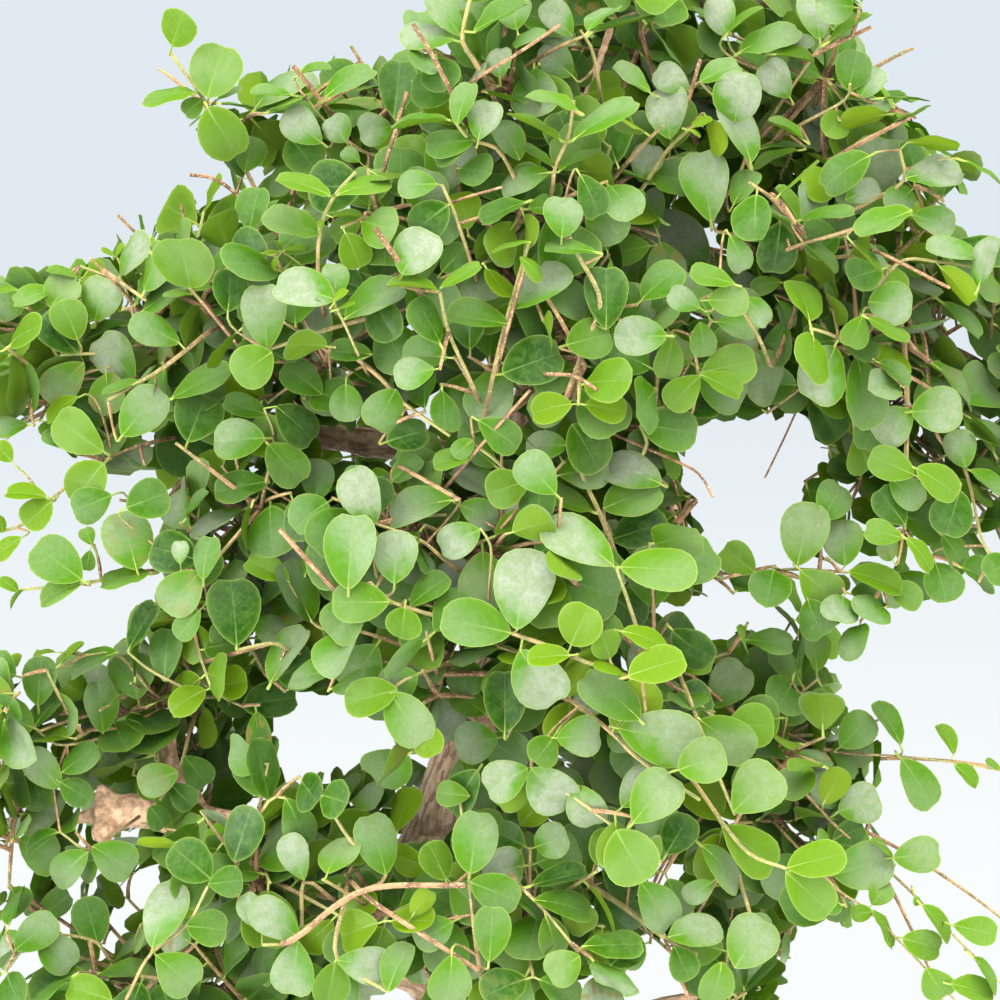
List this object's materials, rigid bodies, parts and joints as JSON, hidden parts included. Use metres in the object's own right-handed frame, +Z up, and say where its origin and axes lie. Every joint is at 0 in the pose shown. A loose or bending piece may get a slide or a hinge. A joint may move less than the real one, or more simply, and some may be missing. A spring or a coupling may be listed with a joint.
{
  "type": "privet bonsai",
  "caption": "Small-leaved privet trained as a bonsai: a curved trunk with limbs and leafy sprays, rooted in soil in a low rectangular footed pot.",
  "frame": {"origin": "Under the middle of the whole tree and pot, on the surface that the pot stands on", "axes": "+Z up, the tree's front towards -Y, the pot's long side along X"},
  "size_m": [0.3484, 0.2234, 0.4943],
  "materials": {
    "clay": "unglazed brown stoneware, matt, slightly grainy",
    "drain_plastic": "dark plastic mesh",
    "earth": "granular bonsai soil with some moss",
    "bark": "grey-brown bark, cracked and flaking on the trunk, smooth on twigs",
    "foliage": "smooth leathery leaves with a soft sheen, paler beneath"
  },
  "bodies": {
    "root": {"tray": "clay", "drain_mesh_left": "drain_plastic", "drain_mesh_right": "drain_plastic", "soil": "earth", "trunk_and_limbs": "bark", "spray_apex_crown": "foliage", "spray_apex_front": "foliage", "spray_right_top": "foliage", "spray_right_top_back": "foliage", "spray_right_high_tip": "foliage", "spray_right_high_front": "foliage", "spray_right_high_under": "foliage", "spray_right_high_back": "foliage", "spray_right_hanging": "foliage", "spray_front_top": "foliage", "spray_front_top_high": "foliage", "spray_front_top_low": "foliage", "spray_back_top": "foliage", "spray_left_top_tip": "foliage", "spray_left_top_crest": "foliage", "spray_left_high_tip": "foliage", "spray_left_high_front": "foliage", "spray_left_high_inner": "foliage", "spray_left_high_back": "foliage", "spray_left_mid": "foliage", "spray_left_mid_low": "foliage", "spray_front_mid": "foliage", "spray_front_mid_low": "foliage", "spray_right_mid": "foliage", "spray_right_mid_low": "foliage", "spray_back_mid": "foliage", "spray_left_low_top": "foliage", "spray_left_low_tip": "foliage", "spray_left_low_front": "foliage", "spray_left_low_back": "foliage", "spray_right_low_front": "foliage", "spray_right_low_tip": "foliage", "spray_right_low_trail": "foliage", "spray_right_low_back": "foliage", "spray_front_low": "foliage", "spray_left_base": "foliage", "spray_right_base": "foliage", "spray_back_low": "foliage"}
  },
  "joints": []
}
